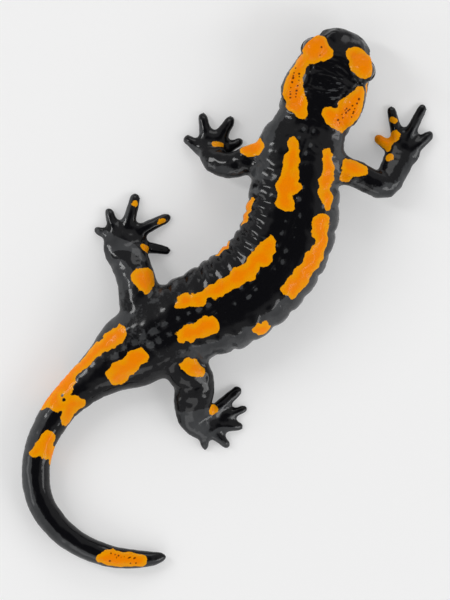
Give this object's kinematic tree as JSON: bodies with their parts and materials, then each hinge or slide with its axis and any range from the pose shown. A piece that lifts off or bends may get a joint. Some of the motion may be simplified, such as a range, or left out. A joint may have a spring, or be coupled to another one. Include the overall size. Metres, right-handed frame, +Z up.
{
  "type": "fire salamander",
  "caption": "Life-size still model of a fire salamander, lying with a bent trunk and a curled tail, glossy black with orange blotches.",
  "frame": {"origin": "middle of the animal's bounding box, on the floor that it lies on", "axes": "+Z up from the floor, +Y towards the head end, +X towards the side that the tail tip points to"},
  "size_m": [0.1088, 0.1423, 0.0169],
  "materials": {
    "skin": "moist smooth skin, glossy black with orange blotches",
    "eye": "wet black-brown eyeball with a clear gloss"
  },
  "bodies": {
    "root": {"head": "skin", "lower_jaw": "skin", "eye_left": "eye", "eye_right": "eye", "neck": "skin", "chest": "skin", "trunk": "skin", "hips": "skin", "tail_base": "skin", "tail_front": "skin", "tail_middle": "skin", "tail_rear": "skin", "tail_tip": "skin", "upper_arm_left": "skin", "forearm_left": "skin", "hand_left": "skin", "upper_arm_right": "skin", "forearm_right": "skin", "hand_right": "skin", "thigh_left": "skin", "shank_left": "skin", "foot_left": "skin", "thigh_right": "skin", "shank_right": "skin", "foot_right": "skin"}
  },
  "joints": []
}
